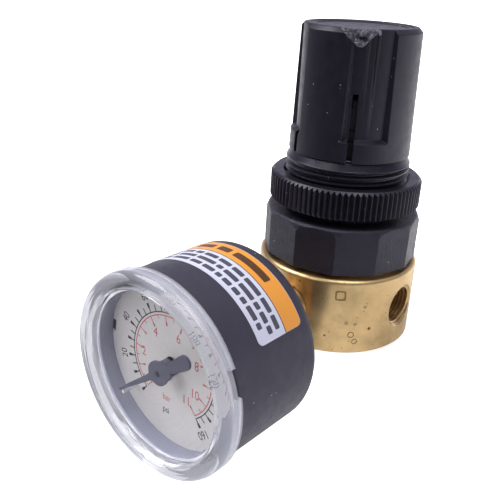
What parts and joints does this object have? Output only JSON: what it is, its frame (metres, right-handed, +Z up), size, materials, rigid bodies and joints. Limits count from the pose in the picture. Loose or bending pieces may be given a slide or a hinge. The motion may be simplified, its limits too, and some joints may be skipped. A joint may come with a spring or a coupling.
{
  "type": "air pressure regulator",
  "caption": "Miniature relieving air pressure regulator: round brass body with threaded ports, black bonnet with knurled panel nut, pull-to-unlock knob and a back-connected dial gauge.",
  "frame": {"origin": "centre of the brass body's flat base, on the regulator's axis", "axes": "+Z up the regulator's axis towards the knob, -X the inlet port, +X the outlet port, -Y the gauge, whose axis is at 10.2 mm above the base"},
  "size_m": [0.0444, 0.0859, 0.0869],
  "materials": {
    "brass_body": "turned, satin, a little tarnished",
    "brass_fittings": "turned, satin",
    "brass_movement": "stamped, bright",
    "brass_valve": "turned, bright",
    "bronze": "drawn phosphor bronze",
    "steel": "zinc plated",
    "spring_steel": "drawn wire",
    "zinc": "die cast",
    "plate_aluminium": "turned",
    "rubber": "moulded, matt",
    "nylon": "moulded",
    "bonnet_plastic": "glass-filled, fine grain",
    "nut_plastic": "moulded, satin",
    "knob_plastic": "moulded, satin",
    "case_plastic": "moulded, matt",
    "dial_face": "printed, matt",
    "pointer_plastic": "matt",
    "clear_lens": "clear, moulded",
    "label": "printed film"
  },
  "bodies": {
    "root": {"body_brass": "brass_body", "rear_port_plug": "brass_fittings", "bottom_plug": "brass_fittings", "plug_oring": "rubber", "valve_spring": "spring_steel", "diaphragm": "rubber", "slip_ring": "steel", "regulating_spring": "spring_steel", "thrust_washer": "nylon", "bonnet": "bonnet_plastic", "gauge_socket": "brass_fittings", "restrictor": "brass_fittings", "gauge_case": "case_plastic", "case_screws": "steel", "bourdon_tube": "bronze", "hairspring": "bronze", "movement_back_plate": "brass_movement", "movement_front_plate": "brass_movement", "movement_posts": "brass_movement", "movement_screws": "steel", "dial": "dial_face", "stop_pin": "nylon", "lens": "clear_lens", "case_label": "label"},
    "valve": {"valve_poppet": "brass_valve", "valve_seal": "rubber"},
    "plate": {"relief_seat": "brass_valve", "diaphragm_plate": "plate_aluminium"},
    "screw": {"adjusting_screw": "steel"},
    "knob": {"knob": "knob_plastic", "knob_cap": "knob_plastic"},
    "spring_nut": {"spring_nut": "zinc"},
    "panel_nut": {"panel_nut": "nut_plastic"},
    "pointer": {"pinion_arbor": "steel", "pointer": "pointer_plastic"},
    "sector": {"sector_gear": "brass_movement"},
    "link": {"link": "brass_movement"},
    "tube_tip": {"tube_tip": "brass_fittings"}
  },
  "joints": [
    {"name": "knob_turn", "type": "hinge", "parent": "root", "child": "screw", "pos_m": [0, 0, 0.055], "axis": [0, 0, -1], "range_deg": [0, 2160]},
    {"name": "knob_pull", "type": "slide", "parent": "screw", "child": "knob", "axis": [0, 0, 1], "range_m": [0, 0.0025]},
    {"name": "nut_travel", "type": "slide", "parent": "root", "child": "spring_nut", "axis": [0, 0, -1], "range_m": [0, 0.00901], "deforming": ["regulating_spring"]},
    {"name": "panel_nut_travel", "type": "slide", "parent": "root", "child": "panel_nut", "axis": [0, 0, 1], "range_m": [-0.002, 0.0055]},
    {"name": "valve_lift", "type": "slide", "parent": "root", "child": "valve", "axis": [0, 0, -1], "range_m": [0, 0.0008], "stiffness_N_per_m": 400, "springref_m": -0.004, "deforming": ["valve_spring"]},
    {"name": "plate_lift", "type": "slide", "parent": "root", "child": "plate", "axis": [0, 0, -1], "range_m": [0, 0.00081], "deforming": ["diaphragm"]},
    {"name": "tip_lift", "type": "slide", "parent": "root", "child": "tube_tip", "axis": [0, 0, 1], "range_m": [0, 0.00258], "deforming": ["bourdon_tube"]},
    {"name": "pointer_turn", "type": "hinge", "parent": "root", "child": "pointer", "pos_m": [0, -0.062, 0.0102], "axis": [0, 1, 0], "range_deg": [0, 271], "stiffness_Nm_per_rad": 0.00002, "springref_deg": -57.3, "deforming": ["hairspring"]},
    {"name": "sector_turn", "type": "hinge", "parent": "root", "child": "sector", "pos_m": [0.00566, -0.0474, 0.00454], "axis": [0, 1, 0], "range_deg": [-38.8, 0]},
    {"name": "link_turn", "type": "hinge", "parent": "sector", "child": "link", "pos_m": [0.00932, -0.04995, 0.00321], "axis": [0, 1, 0], "range_deg": [0, 38.8]}
  ],
  "couplings": [
    {"joint": "nut_travel", "follows": "knob_turn", "m_per_rad": 0.00023873},
    {"joint": "plate_lift", "follows": "valve_lift", "ratio": 1},
    {"joint": "pointer_turn", "follows": "tip_lift", "rad_per_m": 1831.4},
    {"joint": "sector_turn", "follows": "tip_lift", "rad_per_m": -262.2},
    {"joint": "link_turn", "follows": "tip_lift", "rad_per_m": 262.2}
  ]
}
